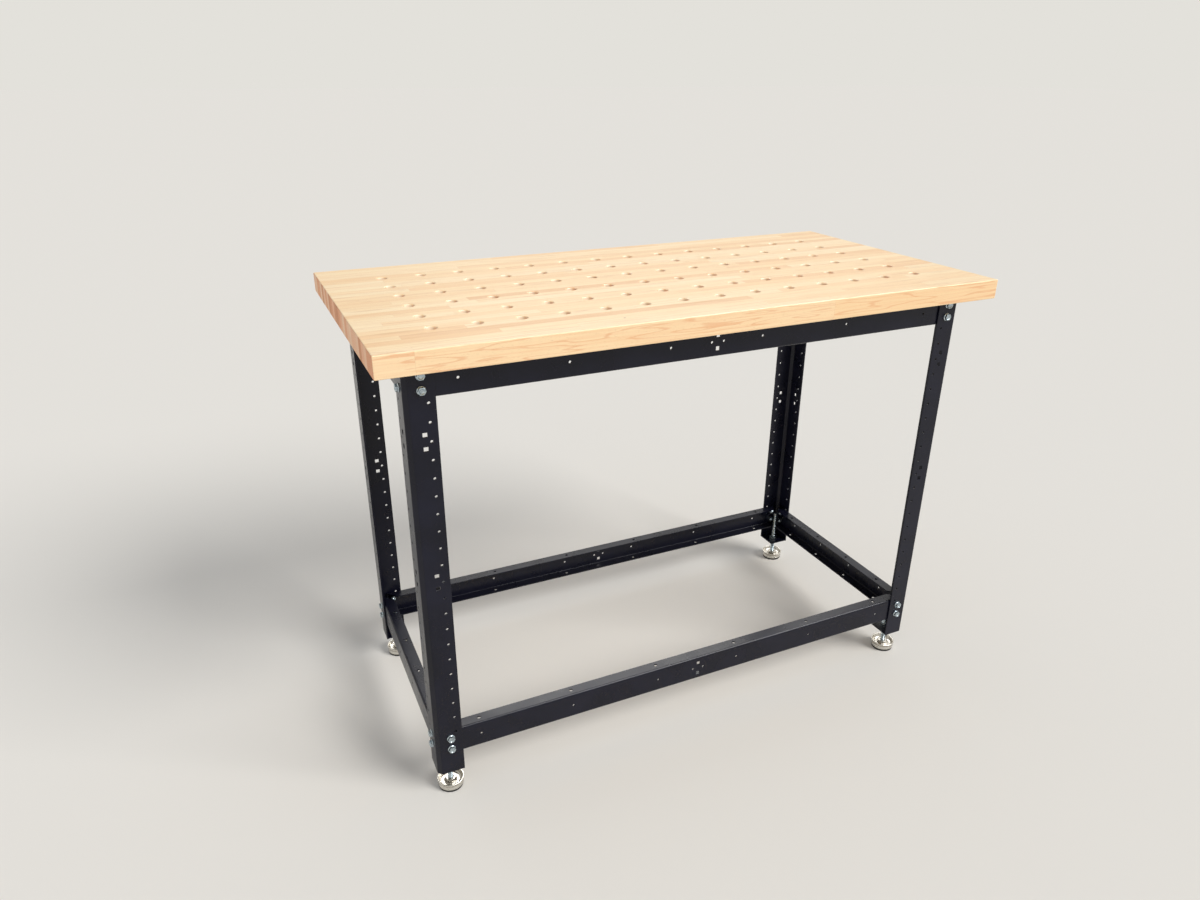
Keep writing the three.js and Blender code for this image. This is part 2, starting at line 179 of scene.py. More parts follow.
# Sheet-metal details
LEG_SHEET = 3 * MM
LEG_BEVEL = 8 * MM
LEG_BEVEL_INSIDE = LEG_BEVEL + LEG_SHEET * (math.sqrt(2) - 1)
RAIL_SHEET = 2.5 * MM
RAIL_END_GAP = 2 * MM
RAIL_MITRE_GAP = 15 * MM
BEND_RADIUS = 1.4 * MM
SHEET_EDGE_EASE = 0.4 * MM
PLATE_SHEET = 3 * MM
PLATE_SETBACK = 0.6 * MM
PLATE_LIFT = 0.3 * MM
PLATE_CORNER = 3 * MM
HOLE_SIDES = 20
HOLE_CUT = 6 * LEG_SHEET
ACCESSORY_HOLE = 5 * MM
ACCESSORY_PITCH = 32.6 * MM
ACCESSORY_COUNT = 21
ACCESSORY_DROP = 61 * MM
ACCESSORY_INSET = 39 * MM
SQUARE_HOLE = 8 * MM
SQUARE_INSET = 29 * MM
SQUARE_DROPS = (126 * MM, 386 * MM)
BOLT_PITCH = 24.5 * MM
BOLT_HOLE = 9.4 * MM
FLANGE_HOLE = 7 * MM
FLANGE_HOLE_SETBACK = 14 * MM
RAIL_HOLE_END = 89 * MM
LONG_RAIL_HOLES = 6
SHORT_RAIL_HOLES = 4
STUD_HOLE = 10.8 * MM

# Turns of a hole's or a fastener's own Z
ALONG_X = Euler((0, math.pi / 2, 0))
ALONG_Y = Euler((math.pi / 2, 0, 0))
ALONG_Z = Euler((0, 0, 0))

# Fastener details
SEAT = 0.3 * MM  # a hairline that keeps seated faces out of one plane
HEXAGON_STEPS = 36
HEXAGON_TURNED_STEP = 0.1 * MM
HEXAGON_CONE = math.radians(30)
DISH_RIM_SHARE = 0.82
DISH_FLOOR_SHARE = 0.60
BOLT_FLATS = 12 * MM
BOLT_HEAD_HEIGHT = 5.5 * MM
BOLT_HEAD_DISH = 1.2 * MM
BOLT_FLANGE = 15.2 * MM
BOLT_FLANGE_EDGE = 0.9 * MM
BOLT_FLANGE_RISE = 2.0 * MM
BOLT_SHANK = 8 * MM
BOLT_SHANK_SIDES = 20
BOLT_THREAD_DEPTH = 0.5 * MM
BOLT_RIDGES = 4
BOLT_NUT_HEIGHT = 7 * MM
BOLT_PROUD = 4 * MM
SCREW_SHANK = 4.5 * MM
SCREW_HEAD_HEIGHT = 3 * MM
SCREW_HEAD_BOTTOM = 2.91 * MM
SCREW_HEAD_ROUND = 1.5 * MM
SCREW_RECESS = 4 * MM
SCREW_RECESS_FLOOR = 1.2 * MM
SCREW_POINT = 6 * MM
SCREW_SIDES = 24

# Levelling feet: the studs, and the corners of pad and sole in section as radius, height and round
STUD_NUT_FLATS = 17 * MM
STUD_NUT_HEIGHT = 8 * MM
STUD_NUT_TURN = 0.3
STUD_PITCH = 1.5 * MM
STUD_THREAD_DEPTH = 0.75 * MM
STUD_TAPER = 1.2 * MM
STUD_SIDES = 24
STUD_ROWS_PER_TURN = 6
PAD_SIDES = 64
PAD_SECTION_MM = [
    (0, 5.0, 0), (24.5, 5.0, 0.8), (24.5, 7.5, 1.0), (22.0, 11.5, 3.0), (26.0, 16.4, 1.2), (26.0, 19.0, 0.9),
    (23.6, 19.0, 0.9), (19.6, 11.0, 4.5), (12.0, 11.0, 1.2), (10.6, 19.0, 1.0), (5.45, 19.0, 0.6),
    (5.42, 10.0, 0), (0, 10.0, 0),
]
SOLE_SECTION_MM = [(0, 0, 0), (23.4, 0, 0.8), (23.4, 4.95, 0), (0, 4.95, 0)]

# Meshes: how close points are made one, and the corners that are shaded smooth because they turn less
WELD = 1e-6
ARC_STEPS = 5
SHEET_SMOOTH_DEG = 32
TOP_SMOOTH_DEG = 20
PAD_SMOOTH_DEG = 40
STUD_SMOOTH_DEG = 50
FLAT_FACE_WEIGHT = 90

# Camera, matched to the photograph: its picture is 1200 by 900
PICTURE_WIDTH_PX = 1200
FOCAL_PX = 859.6
SENSOR_WIDTH_MM = 36.0
CAMERA_PLACE = (-0.8012, -1.5033, 1.2769)
CAMERA_TURN_DEG = (66.034, -0.220, -24.505)
CAMERA_REACH = 100.0

# Studio: the backdrop is the colour that the lit floor has far away, so that no horizon shows
FLOOR_COLOUR = "E3E2DF"
FLOOR_REACH = 60.0
BACKDROP = "E3E1DB"
SKY_COLOUR = "F6F6F6"
SKY_STRENGTH = 0.56
LAMP_COLOUR = "FFFBF5"
LAMP_STRENGTH = 2.55
LAMP_WIDTH_DEG = 30
LAMP_FROM = (0.60, -0.70, 0.70)

# Panels that only polished surfaces show, one beyond the table and one over its front: place, size and watts
PANELS = {
    "far_panel": ((1.7, 3.1, 3.75), (3.2, 1.6), 100),
    "front_panel": ((1.6, -1.3, 3.1), (3.5, 2.6), 310),
}


def srgb(code):
    """A linear RGBA colour from an sRGB hex code such as F2D6AB."""
    parts = [int(code[i:i + 2], 16) / 255 for i in (0, 2, 4)]
    return tuple(c / 12.92 if c <= 0.04045 else ((c + 0.055) / 1.055) ** 2.4 for c in parts) + (1.0,)


def add_node(tree, kind, inputs=None, **settings):
    """Adds a node, sets its properties, and sets its inputs or links them to sockets or nodes."""
    made = tree.nodes.new(kind)
    for name, value in settings.items():
        setattr(made, name, value)
    for key, value in (inputs or {}).items():
        if isinstance(value, bpy.types.Node):
            value = value.outputs[0]
        if isinstance(value, bpy.types.NodeSocket):
            tree.links.new(value, made.inputs[key])
        else:
            made.inputs[key].default_value = value
    return made


def new_material(name):
    """An empty node material, and what adds a node to it."""
    material = bpy.data.materials.new(name)
    material.use_nodes = True
    material.node_tree.nodes.clear()
    return material, partial(add_node, material.node_tree)


def fill_ramp(ramp, stops):
    """Sets a colour ramp's stops from (position, hex) pairs, and gives the ramp back."""
    elements = ramp.color_ramp.elements
    while len(elements) < len(stops):
        elements.new(0.5)
    for element, (position, code) in zip(elements, stops):
        element.position = position
        element.color = srgb(code)
    return ramp


# Materials


def layered(node, colour, layers, masks):
    """Lays colours over a colour, each by its mask and its share."""
    for name, share, code in layers:
        amount = node(MATH, {0: masks[name], 1: share}, operation="MULTIPLY")
        colour = node(MIX, {0: amount, 6: colour, 7: srgb(code)}, data_type="RGBA").outputs[2]
    return colour


def lay_staves(node, x, y):
    """Staves along X in rows, each row cut to its own lengths; the front row's joints are placed."""
    row_place = node(
        MATH, {0: y, 1: STAVE_ROW_FIT / STAVE_WIDTH, 2: -TOP_LOW.y / STAVE_WIDTH}, operation="MULTIPLY_ADD"
    )
    row = node(MATH, {0: row_place}, operation="FLOOR")
    row_noise = node(WHITE_NOISE, {"W": row}, noise_dimensions="1D").outputs["Color"]
    any_length, any_start, _ = node(SEPARATE_COLOUR, {0: row_noise}).outputs[:3]
    spread = STAVE_LONGEST - STAVE_SHORTEST
    free_length = node(MATH, {0: any_length, 1: spread, 2: STAVE_SHORTEST}, operation="MULTIPLY_ADD")
    free_start = node(MATH, {0: any_start, 1: STAVE_LONGEST, 2: STAVE_ROW_START}, operation="MULTIPLY_ADD")
    in_front = node(MATH, {0: row, 1: 0.5}, operation="LESS_THAN")
    front_length = FRONT_JOINTS[1] - FRONT_JOINTS[0]
    length = node(MIX, {0: in_front, 2: free_length, 3: front_length})
    start = node(MIX, {0: in_front, 2: free_start, 3: FRONT_STAVES_BEFORE * front_length - FRONT_JOINTS[0]})
    along = node(MATH, {0: x, 1: start}, operation="ADD")
    stave_place = node(MATH, {0: along, 1: length}, operation="DIVIDE")
    number = node(MATH, {0: stave_place}, operation="FLOOR")
    stave = node(COMBINE, {0: row, 1: number, 2: STAVE_SEED})
    noise = node(WHITE_NOISE, {"Vector": stave}, noise_dimensions="3D").outputs["Color"]
    any_tone, warmth, figure = node(SEPARATE_COLOUR, {0: noise}).outputs[:3]
    depth = node(RANGE, {0: in_front, 3: 1.0, 4: FRONT_TONE})
    return {
        "across": node(MATH, {0: row_place}, operation="FRACT"),
        "along": node(MATH, {0: stave_place}, operation="FRACT"),
        "length": length,
        "tone": node(MATH, {0: any_tone, 1: depth}, operation="MULTIPLY"),
        "warmth": warmth,
        "figure": figure,
        "shift": node(VECTOR, {0: noise, "Scale": STAVE_SHIFT}, operation="SCALE"),
    }


def grain_of(node, place, staves):
    """Each grain pattern as plain noise, stretched along the staves and moved from stave to stave."""
    grain = {}
    for name, (lengths_mm, detail) in GRAIN_MM.items():
        per_metre = [1 / (length_mm * MM) for length_mm in lengths_mm]
        stretched = node(VECTOR, {0: place, 1: per_metre, 2: staves["shift"]}, operation="MULTIPLY_ADD")
        grain[name] = node(NOISE, {"Vector": stretched, "Scale": 1.0, "Detail": detail}).outputs["Fac"]
    return grain


def grain_masks(node, grain, staves):
    """Where fibre, pores, streaks and growth figure show."""
    masks = {"warmth": staves["warmth"]}
    for name, (start, full) in GRAIN_BANDS.items():
        masks[name] = node(RANGE, {0: grain[name], 1: start, 2: full})
    for name, (waves, start) in FIGURE_BANDS.items():
        phase = node(MATH, {0: grain[name], 1: waves}, operation="MULTIPLY")
        masks[name] = node(RANGE, {0: node(MATH, {0: phase}, operation="SINE"), 1: start, 2: 1.0})
    masks["figured"] = node(MATH, {0: masks["rings"], 1: staves["figure"]}, operation="MULTIPLY")
    return masks


def end_rings(node, z, staves):
    """Growth rings on the sawn ends, each stave with its own heart."""
    aside = node(RANGE, {0: staves["tone"], 4: HEART_ASIDE})
    heart_z = node(RANGE, {0: staves["warmth"], 3: TOP_LOW.z - HEART_BELOW, 4: TOP_HIGH.z})
    from_heart = node(COMBINE, {
        0: node(MATH, {0: staves["across"], 1: STAVE_WIDTH, 2: aside}, operation="MULTIPLY_ADD"),
        1: node(MATH, {0: z, 1: heart_z}, operation="SUBTRACT"),
    })
    radius = node(VECTOR, {0: from_heart}, operation="LENGTH").outputs["Value"]
    phase = node(MATH, {0: radius, 1: math.tau / RING_SPACING}, operation="MULTIPLY")
    start, full = END_RING_BAND
    return node(RANGE, {0: node(MATH, {0: phase}, operation="SINE"), 1: start, 2: full})


def side_masks(node, x, y, normal):
    """Where the ends, the long edges and the walls of the dog holes are, with the holes' end grain."""
    facing = node(SEPARATE, {0: normal}).outputs
    turned, outside = [], []
    for axis, half, side in ((x, TOP_HIGH.x, facing[0]), (y, TOP_HIGH.y, facing[1])):
        steepness = node(MATH, {0: side}, operation="ABSOLUTE")
        turned.append(node(RANGE, {0: steepness, 1: SIDE_BAND[0], 2: SIDE_BAND[1]}))
        reach = node(MATH, {0: axis}, operation="ABSOLUTE")
        outside.append(node(RANGE, {0: reach, 1: half - 2 * TOP_EDGE_EASE, 2: half - TOP_EDGE_EASE}))
    at_end = node(MATH, {0: turned[0], 1: outside[0]}, operation="MULTIPLY")
    at_edge = node(MATH, {0: turned[1], 1: outside[1]}, operation="MULTIPLY")
    upright = node(MATH, {0: turned[0], 1: turned[1]}, operation="MAXIMUM")
    outer = node(MATH, {0: at_end, 1: at_edge}, operation="MAXIMUM")
    in_hole = node(MATH, {0: upright, 1: outer}, operation="SUBTRACT", use_clamp=True)
    end_in_hole = node(MATH, {0: in_hole, 1: turned[0]}, operation="MULTIPLY")
    return {
        "at_end": at_end, "at_edge": at_edge, "in_hole": in_hole,
        "end_in_hole": node(MATH, {0: end_in_hole, 1: HOLE_END_SHARE}, operation="MULTIPLY"),
    }


def joint_masks(node, staves):
    """Thin glue lines between the rows and at the butt joints."""
    aside = node(MATH, {0: staves["across"], 1: 0.5}, operation="SUBTRACT")
    from_middle = node(MATH, {0: aside}, operation="ABSOLUTE")
    from_joint = node(MATH, {0: staves["along"], 1: staves["length"]}, operation="MULTIPLY")
    return {
        "row_line": node(RANGE, {0: from_middle, 1: 0.5 - GLUE_LINE / STAVE_WIDTH, 2: 0.5}),
        "joint_line": node(RANGE, {0: from_joint, 1: 2 * GLUE_LINE, 2: 0.0}),
    }


def mark_masks(node, place):
    """Where each mineral streak, stain and pin knot is, soft at its rim."""
    masks = {}
    for name, (centre_mm, size_mm, _, _) in MARKS_MM.items():
        offset = node(VECTOR, {0: place, 1: [c * MM for c in centre_mm]}, operation="SUBTRACT")
        scaled = node(VECTOR, {0: offset, 1: [1 / (s * MM) for s in size_mm]}, operation="MULTIPLY")
        distance = node(VECTOR, {0: scaled}, operation="LENGTH").outputs["Value"]
        masks[name] = node(RANGE, {0: distance, 1: 1.0, 2: MARK_CORE})
    return masks


def maple():
    """Edge-glued maple under satin lacquer: pale staves of mixed tone, fine fibre, figure, matt pink ends."""
    material, node = new_material("lacquered_maple_block")
    coordinates = node(COORDINATES).outputs
    place = coordinates["Object"]
    x, y, z = node(SEPARATE, {0: place}).outputs
    staves = lay_staves(node, x, y)
    grain = grain_of(node, place, staves)
    masks = {
        **grain_masks(node, grain, staves),
        **side_masks(node, x, y, coordinates["Normal"]),
        **joint_masks(node, staves),
        **mark_masks(node, place),
        "end_rings": end_rings(node, z, staves),
    }

    # Faces with painted light that pales the walls of the dog holes, long edges with the broad figure, ends
    # with growth rings
    tones = fill_ramp(node(RAMP, {"Fac": staves["tone"]}), FACE_TONES)
    end_tones = fill_ramp(node(RAMP, {"Fac": staves["figure"]}), END_TONES)
    colour = layered(node, tones, FACE_LAYERS, masks)
    edge = layered(node, tones, EDGE_LAYERS, masks)
    end = layered(node, end_tones, END_LAYERS, masks)
    for name, finish in (("at_edge", edge), ("at_end", end), ("end_in_hole", end)):
        colour = node(MIX, {0: masks[name], 6: colour, 7: finish}, data_type="RGBA").outputs[2]
    mark_layers = [(name, share, code) for name, (_, _, share, code) in MARKS_MM.items()]
    colour = layered(node, colour, JOINT_LAYERS + mark_layers, masks)

    height = node(MATH, {0: masks["pores"], 1: -PORE_DEPTH, 2: grain["fibre"]}, operation="MULTIPLY_ADD")
    bump = node(BUMP, {"Strength": 0.08, "Distance": 0.2 * MM, "Height": height})

    # Faces and long edges are satin, and the sawn ends drink in the lacquer and stay matt
    satin = node(RANGE, {0: grain["fibre"], 3: MAPLE_ROUGHNESS[0], 4: MAPLE_ROUGHNESS[1]})
    roughness = node(MIX, {0: masks["at_end"], 2: satin, 3: END_ROUGHNESS})
    shader = node(SHADER, {
        "Base Color": colour, "Roughness": roughness, "Normal": bump, "Specular IOR Level": 0.25,
        "Coat Weight": 0.05, "Coat Roughness": 0.2,
    })
    node(SURFACE, {"Surface": shader})
    return material


def powder_coat():
    """Black powder coat on folded steel: semi-gloss, with a fine orange-peel skin."""
    material, node = new_material("black_powder_coat")
    place = node(COORDINATES).outputs["Object"]
    peel = node(NOISE, {"Vector": place, "Scale": 1 / POWDER_PEEL, "Detail": 2.0}).outputs["Fac"]
    cloud = node(NOISE, {"Vector": place, "Scale": 1 / POWDER_CLOUD, "Detail": 3.0}).outputs["Fac"]
    low, high = NOISE_BAND
    shader = node(SHADER, {
        "Base Color": fill_ramp(node(RAMP, {"Fac": cloud}), POWDER_TONES),
        "Roughness": node(RANGE, {0: cloud, 1: low, 2: high, 3: POWDER_ROUGHNESS[0], 4: POWDER_ROUGHNESS[1]}),
        "Normal": node(BUMP, {"Strength": 0.14, "Distance": 0.15 * MM, "Height": peel}),
        "Specular IOR Level": 0.28,
    })
    node(SURFACE, {"Surface": shader})
    return material


def plated(name, cloud_size, tones, roughness):
    """Plated steel: a bright metal whose tint and polish drift a little over the surface."""
    material, node = new_material(name)
    place = node(COORDINATES).outputs["Object"]
    drift = node(NOISE, {"Vector": place, "Scale": 1 / cloud_size, "Detail": 3.0}).outputs["Fac"]
    low, high = NOISE_BAND
    shader = node(SHADER, {
        "Base Color": fill_ramp(node(RAMP, {"Fac": drift}), tones),
        "Roughness": node(RANGE, {0: drift, 1: low, 2: high, 3: roughness[0], 4: roughness[1]}),
        "Metallic": 1.0,
    })
    node(SURFACE, {"Surface": shader})
    return material


def sole_rubber():
    """Moulded black rubber: matt, with a faint grain."""
    material, node = new_material("moulded_black_rubber")
    place = node(COORDINATES).outputs["Object"]
    grain = node(NOISE, {"Vector": place, "Scale": 1 / RUBBER_GRAIN, "Detail": 2.0}).outputs["Fac"]
    shader = node(SHADER, {
        "Base Color": fill_ramp(node(RAMP, {"Fac": grain}), RUBBER_TONES),
        "Normal": node(BUMP, {"Strength": 0.2, "Distance": 0.1 * MM, "Height": grain}),
        "Roughness": 0.75,
    })
    node(SURFACE, {"Surface": shader})
    return material


MAPLE = maple()
POWDER_COAT = powder_coat()
# Zinc is a cool grey with a spangle of darker and lighter flecks
ZINC = plated("bright_zinc_plate", ZINC_SPANGLE, ZINC_TONES, ZINC_ROUGHNESS)
# Nickel is a warmer and more even silver
NICKEL = plated("bright_nickel_plate", NICKEL_CLOUD, NICKEL_TONES, NICKEL_ROUGHNESS)
RUBBER = sole_rubber()


# Mesh helpers


def piece_from(name, mesh_builder, material):
    """A new piece whose mesh is what the builder leaves in a bmesh, with its faces pointing out."""
    made = bmesh.new()
    mesh_builder(made)
    bmesh.ops.remove_doubles(made, verts=made.verts, dist=WELD)
    bmesh.ops.recalc_face_normals(made, faces=made.faces)
    mesh = bpy.data.meshes.new(name)
    made.to_mesh(mesh)
    made.free()
    mesh.materials.append(material)
    piece = bpy.data.objects.new(name, mesh)
    SCENE.collection.objects.link(piece)
    return piece


def soften(piece, degrees):
    """Smooth shading with sharp edges past an angle, and broad faces kept flat."""
    mesh = piece.data
    mesh.polygons.foreach_set("use_smooth", [True] * len(mesh.polygons))
    mesh.set_sharp_from_angle(angle=math.radians(degrees))
    normals = piece.modifiers.new("flat_faces", "WEIGHTED_NORMAL")
    normals.keep_sharp = True
    normals.weight = FLAT_FACE_WEIGHT


def rounded(points, radii):
    """A 2D outline with an arc of the given radius at each point that has one."""
    outline = []
    count = len(points)
    for i, radius in enumerate(radii):
        corner = Vector(points[i])
        if not radius:
            outline.append(corner)
            continue
        before = (Vector(points[i - 1]) - corner).normalized()
        after = (Vector(points[(i + 1) % count]) - corner).normalized()
        half_angle = before.angle(after) / 2
        reach = radius / math.tan(half_angle)
        centre = corner + (before + after).normalized() * radius / math.sin(half_angle)
        first = corner + before * reach - centre
        last = corner + after * reach - centre
        sweep = first.angle_signed(last)
        for step in range(ARC_STEPS + 1):
            outline.append(centre + Matrix.Rotation(-sweep * step / ARC_STEPS, 2) @ first)
    return outline


def skin(made, rings, is_tube=False):
    """Adds the faces between rings of vertices, then closes the ends or joins them to each other."""
    pairs = list(zip(rings, rings[1:]))
    if is_tube:
        pairs.append((rings[-1], rings[0]))
    else:
        made.faces.new(rings[0])
        made.faces.new(rings[-1])
    for lower, upper in pairs:
        for k in range(len(lower)):
            n = (k + 1) % len(lower)
            made.faces.new((lower[k], lower[n], upper[n], upper[k]))


def prism(made, outline, low, high):
    """Adds a closed prism over a plan outline."""
    skin(made, [[made.verts.new((p[0], p[1], z)) for p in outline] for z in (low, high)])


def lathe(made, profile, sides, centre=(0, 0)):
    """Adds a turned solid: the profile is (radius, height) pairs from the axis to the axis."""
    angles = [math.tau * k / sides for k in range(sides)]
    rings = []
    for radius, height in profile:
        if radius == 0:
            rings.append([made.verts.new((centre[0], centre[1], height))])
            continue
        rings.append([
            made.verts.new((centre[0] + radius * math.cos(a), centre[1] + radius * math.sin(a), height))
            for a in angles
        ])
    for lower, upper in zip(rings, rings[1:]):
        for k in range(sides):
            n = (k + 1) % sides
            quad = (
                lower[k % len(lower)], lower[n % len(lower)], upper[n % len(upper)], upper[k % len(upper)],
            )
            corners = list(dict.fromkeys(quad))
            if len(corners) > 2:
                made.faces.new(corners)


def bake(piece):
    """Turns a piece's modifiers into its plain mesh."""
    evaluated = piece.evaluated_get(bpy.context.evaluated_depsgraph_get())
    mesh = bpy.data.meshes.new_from_object(evaluated)
    mesh.name = piece.name
    piece.modifiers.clear()
    piece.data = mesh


def weld_on(piece, other):
    """Joins another piece to a piece as one solid; the other is then removed."""
    union = piece.modifiers.new("weld", "BOOLEAN")
    union.operation = "UNION"
    union.solver = "EXACT"
    union.object = other
    bake(piece)
    bpy.data.objects.remove(other)


# Geometry Nodes trees


def new_tree(name, sockets):
    """A geometry tree with named inputs; gives the tree, what adds a node to it, and its inputs."""
    tree = bpy.data.node_groups.new(name, "GeometryNodeTree")
    tree.interface.new_socket(name="Geometry", in_out="INPUT", socket_type="NodeSocketGeometry")
    for socket_name, kind in sockets.items():
        tree.interface.new_socket(name=socket_name, in_out="INPUT", socket_type="NodeSocket" + kind)
    tree.interface.new_socket(name="Geometry", in_out="OUTPUT", socket_type="NodeSocketGeometry")
    node = partial(add_node, tree)
    return tree, node, node("NodeGroupInput").outputs


def finish_tree(node, geometry, material):
    """Ends a tree: real geometry, with its material."""
    real = node(REALIZE, {"Geometry": geometry})
    painted = node("GeometryNodeSetMaterial", {"Geometry": real, "Material": material})
    node("NodeGroupOutput", {0: painted})


def hole_row_tree():
    """Cuts a row of holes: a line of bars, round or square by their sides, taken out of the sheet."""
    tree, node, given = new_tree("row_of_holes", {
        "Start": "Vector", "Step": "Vector", "Count": "Int", "Turn": "Rotation", "Diameter": "Float",
        "Sides": "Int", "Depth": "Float", "Material": "Material",
    })
    line = node(
        "GeometryNodeMeshLine",
        {"Count": given["Count"], "Start Location": given["Start"], "Offset": given["Step"]}, mode="OFFSET",
    )
    radius = node(MATH, {0: given["Diameter"], 1: 0.5}, operation="MULTIPLY")
    bar = node(
        "GeometryNodeMeshCylinder", {"Vertices": given["Sides"], "Radius": radius, "Depth": given["Depth"]}
    )
    bars = node(ON_POINTS, {"Points": line, "Instance": bar, "Rotation": given["Turn"]})
    solid_bars = node(REALIZE, {"Geometry": bars})
    cut = node(BOOLEAN, {0: given["Geometry"], 1: solid_bars}, operation="DIFFERENCE", solver="EXACT")
    finish_tree(node, cut, given["Material"])
    return tree


def dog_hole_tree():
    """Cuts a grid of dog holes through the worktop."""
    tree, node, given = new_tree("grid_of_dog_holes", {
        "Columns": "Int", "Rows": "Int", "Pitch": "Float", "Cutter": "Object", "Height": "Float",
        "Material": "Material",
    })
    spans = []
    for count in ("Columns", "Rows"):
        gaps = node(MATH, {0: given[count], 1: 1.0}, operation="SUBTRACT")
        spans.append(node(MATH, {0: gaps, 1: given["Pitch"]}, operation="MULTIPLY"))
    grid = node("GeometryNodeMeshGrid", {
        "Size X": spans[0], "Size Y": spans[1], "Vertices X": given["Columns"], "Vertices Y": given["Rows"],
    })
    lift = node(COMBINE, {2: given["Height"]})
    points = node("GeometryNodeTransform", {"Geometry": grid, "Translation": lift})
    cutter = node(OBJECT, {"Object": given["Cutter"]}).outputs["Geometry"]
    cutters = node(ON_POINTS, {"Points": points, "Instance": cutter})
    solid_cutters = node(REALIZE, {"Geometry": cutters})
    cut = node(BOOLEAN, {0: given["Geometry"], 1: solid_cutters}, operation="DIFFERENCE", solver="EXACT")
    finish_tree(node, cut, given["Material"])
    return tree


def fastener_tree():
    """Sets one fastener on every point, turned by the point's own turn attribute."""
    tree, node, given = new_tree("fasteners_on_points", {"Fastener": "Object", "Material": "Material"})
    turn = node("GeometryNodeInputNamedAttribute", {"Name": "turn"}, data_type="FLOAT_VECTOR")
    rotation = node("FunctionNodeEulerToRotation", {0: turn})
    fastener = node(OBJECT, {"Object": given["Fastener"]}).outputs["Geometry"]
    placed = node(ON_POINTS, {"Points": given["Geometry"], "Instance": fastener, "Rotation": rotation})
    finish_tree(node, placed, given["Material"])
    return tree


HOLE_ROW = hole_row_tree()
DOG_HOLES = dog_hole_tree()
FASTENERS = fastener_tree()


def run_tree(piece, tree, values):
    """Adds a tree to a piece, its inputs set by name."""
    modifier = piece.modifiers.new(tree.name, "NODES")
    modifier.node_group = tree
    for item in tree.interface.items_tree:
        if item.in_out == "INPUT" and item.name in values:
            modifier[item.identifier] = values[item.name]


def hole_row(piece, start, step, count, turn, size, is_square=False):
    """Cuts one row of round or square holes in a sheet-metal piece."""
    sides = HOLE_SIDES
    if is_square:
        diagonal = Euler((0, 0, math.pi / 4)).to_matrix()
        turn = (turn.to_matrix() @ diagonal).to_euler()
        size = size * math.sqrt(2)
        sides = 4
    run_tree(piece, HOLE_ROW, {
        "Start": tuple(start), "Step": tuple(step), "Count": count, "Turn": tuple(turn), "Diameter": size,
        "Sides": sides, "Depth": HOLE_CUT, "Material": POWDER_COAT,
    })


# Pieces


def slab_shape(made):
    """Adds the plain block with its edges eased."""
    bmesh.ops.create_cube(made, size=1.0)
    bmesh.ops.scale(made, vec=TOP_HIGH - TOP_LOW, verts=made.verts)
    bmesh.ops.translate(made, vec=(TOP_LOW + TOP_HIGH) / 2, verts=made.verts)
    bmesh.ops.bevel(
        made, geom=made.edges, offset=TOP_EDGE_EASE, segments=TOP_EDGE_STEPS, profile=0.5, affect="EDGES"
    )


def dog_hole_shape(made):
    """Adds what a dog hole takes out: it flares along each rim's arc and runs on well past the face."""
    half = (TOP_HIGH.z - TOP_LOW.z) / 2
    flare = []
    for step in range(DOG_HOLE_ROUND_STEPS):
        angle = DOG_HOLE_FLARE * step / (DOG_HOLE_ROUND_STEPS - 1)
        out = DOG_HOLE_DIAMETER / 2 + DOG_HOLE_ROUND * (1 - math.cos(angle))
        flare.append((out, half - DOG_HOLE_ROUND * (1 - math.sin(angle))))
    out, height = flare[-1]
    flare.append((
        out + DOG_HOLE_RUN_ON * math.sin(DOG_HOLE_FLARE), height + DOG_HOLE_RUN_ON * math.cos(DOG_HOLE_FLARE),
    ))
    lower = [(radius, -height) for radius, height in reversed(flare)]
    lathe(made, [(0, lower[0][1]), *lower, *flare, (0, flare[-1][1])], DOG_HOLE_SIDES)


def make_worktop():
    """The block top: eased edges and a grid of dog holes with rounded rims."""
    top = piece_from("butcher_block_top", slab_shape, MAPLE)
    cutter = piece_from("dog_hole_cutter", dog_hole_shape, MAPLE)
    run_tree(top, DOG_HOLES, {
        "Columns": DOG_HOLE_COLUMNS, "Rows": DOG_HOLE_ROWS, "Pitch": DOG_HOLE_PITCH, "Cutter": cutter,
        "Height": (TOP_LOW.z + TOP_HIGH.z) / 2, "Material": MAPLE,
    })
    bake(top)
    bpy.data.objects.remove(cutter)
    soften(top, TOP_SMOOTH_DEG)
    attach(top, "table")
    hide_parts("worktop")


